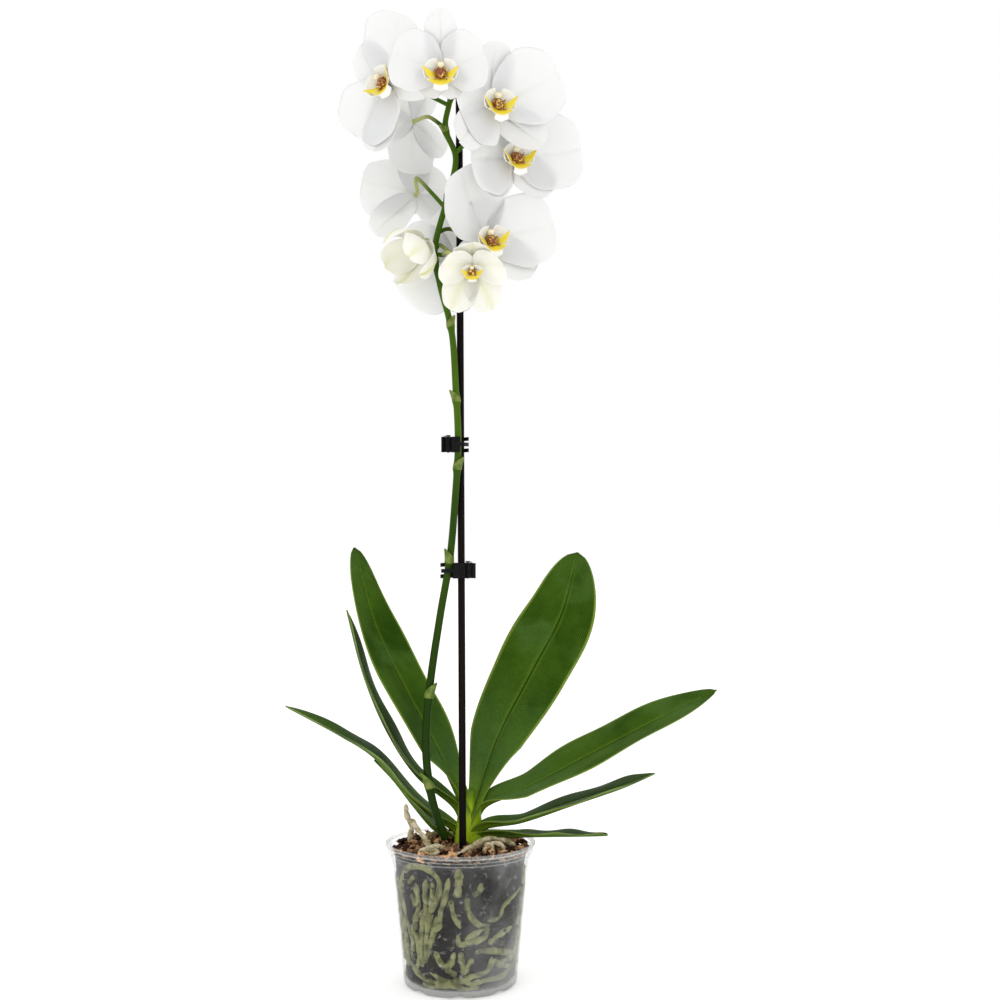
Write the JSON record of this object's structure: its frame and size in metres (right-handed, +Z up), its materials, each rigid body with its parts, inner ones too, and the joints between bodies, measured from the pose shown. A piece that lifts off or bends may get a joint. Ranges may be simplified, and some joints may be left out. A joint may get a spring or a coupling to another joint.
{
  "type": "potted orchid",
  "caption": "Potted white moth orchid: flower spike clipped to a stake, arching leaves and roots, in a clear tapered nursery pot.",
  "frame": {"origin": "centre of the pot's base, on the surface that it stands on", "axes": "+Z up along the pot's axis, -Y the side that the open flowers face, +X to the right seen from that side"},
  "size_m": [0.3418, 0.1442, 0.7628],
  "materials": {
    "clear_pot": "clear thin plastic, slightly hazy",
    "bark": "rough damp bark chips",
    "root": "matte, silvery green skin",
    "crown": "satin, smooth leaf sheaths",
    "leaf": "waxy, semi-gloss",
    "stem": "satin",
    "stake": "semi-gloss",
    "petal": "matte, translucent",
    "lip": "satin, spotted",
    "bud": "matte, translucent",
    "clip": "gloss",
    "clip_steel": "blackened wire"
  },
  "bodies": {
    "plant_and_pot": {"pot": "clear_pot", "bark_bed": "bark", "crown": "crown", "flower_spike": "stem", "stake": "stake", "leaf_upper_right": "leaf", "leaf_middle_right": "leaf", "leaf_lower_right": "leaf", "leaf_bottom_right": "leaf", "leaf_upper_left": "leaf", "leaf_middle_left": "leaf", "leaf_lower_left": "leaf", "leaf_bottom_left": "leaf", "root_aerial_left": "root", "root_front_left": "root", "root_front": "root", "root_right": "root", "root_wall_1": "root", "root_wall_2": "root", "root_wall_3": "root", "root_wall_4": "root", "root_wall_5": "root", "flower_top_sepals": "petal", "flower_top_petals": "petal", "flower_top_lip_and_column": "lip", "flower_upper_right_sepals": "petal", "flower_upper_right_petals": "petal", "flower_upper_right_lip_and_column": "lip", "flower_middle_right_sepals": "petal", "flower_middle_right_petals": "petal", "flower_middle_right_lip_and_column": "lip", "flower_lower_right_sepals": "petal", "flower_lower_right_petals": "petal", "flower_lower_right_lip_and_column": "lip", "flower_upper_left_sepals": "petal", "flower_upper_left_petals": "petal", "flower_upper_left_lip_and_column": "lip", "flower_behind_left_sepals": "petal", "flower_behind_left_petals": "petal", "flower_behind_left_lip_and_column": "lip", "flower_middle_left_sepals": "petal", "flower_middle_left_petals": "petal", "flower_middle_left_lip_and_column": "lip", "flower_lower_left_sepals": "petal", "flower_lower_left_petals": "petal", "flower_lower_left_lip_and_column": "lip", "flower_half_open_sepals": "bud", "flower_half_open_petals": "petal", "flower_half_open_lip_and_column": "lip", "bud_sepals": "bud", "bud_petals": "bud", "clip_lower_fixed_jaw": "clip", "clip_lower_pin": "clip_steel", "clip_lower_spring": "clip_steel", "clip_upper_fixed_jaw": "clip", "clip_upper_pin": "clip_steel", "clip_upper_spring": "clip_steel"},
    "clip_lower_jaw": {"clip_lower_moving_jaw": "clip"},
    "clip_upper_jaw": {"clip_upper_moving_jaw": "clip"}
  },
  "joints": [
    {"name": "clip_lower_hinge", "type": "hinge", "parent": "plant_and_pot", "child": "clip_lower_jaw", "pos_m": [0.006, -0.0072, 0.329], "axis": [0, 0, 1], "range_deg": [0, 30], "stiffness_Nm_per_rad": 0.01, "springref_deg": -17.19},
    {"name": "clip_upper_hinge", "type": "hinge", "parent": "plant_and_pot", "child": "clip_upper_jaw", "pos_m": [-0.0096, -0.0094, 0.429], "axis": [0, 0, -1], "range_deg": [0, 30], "stiffness_Nm_per_rad": 0.01, "springref_deg": -17.19}
  ]
}
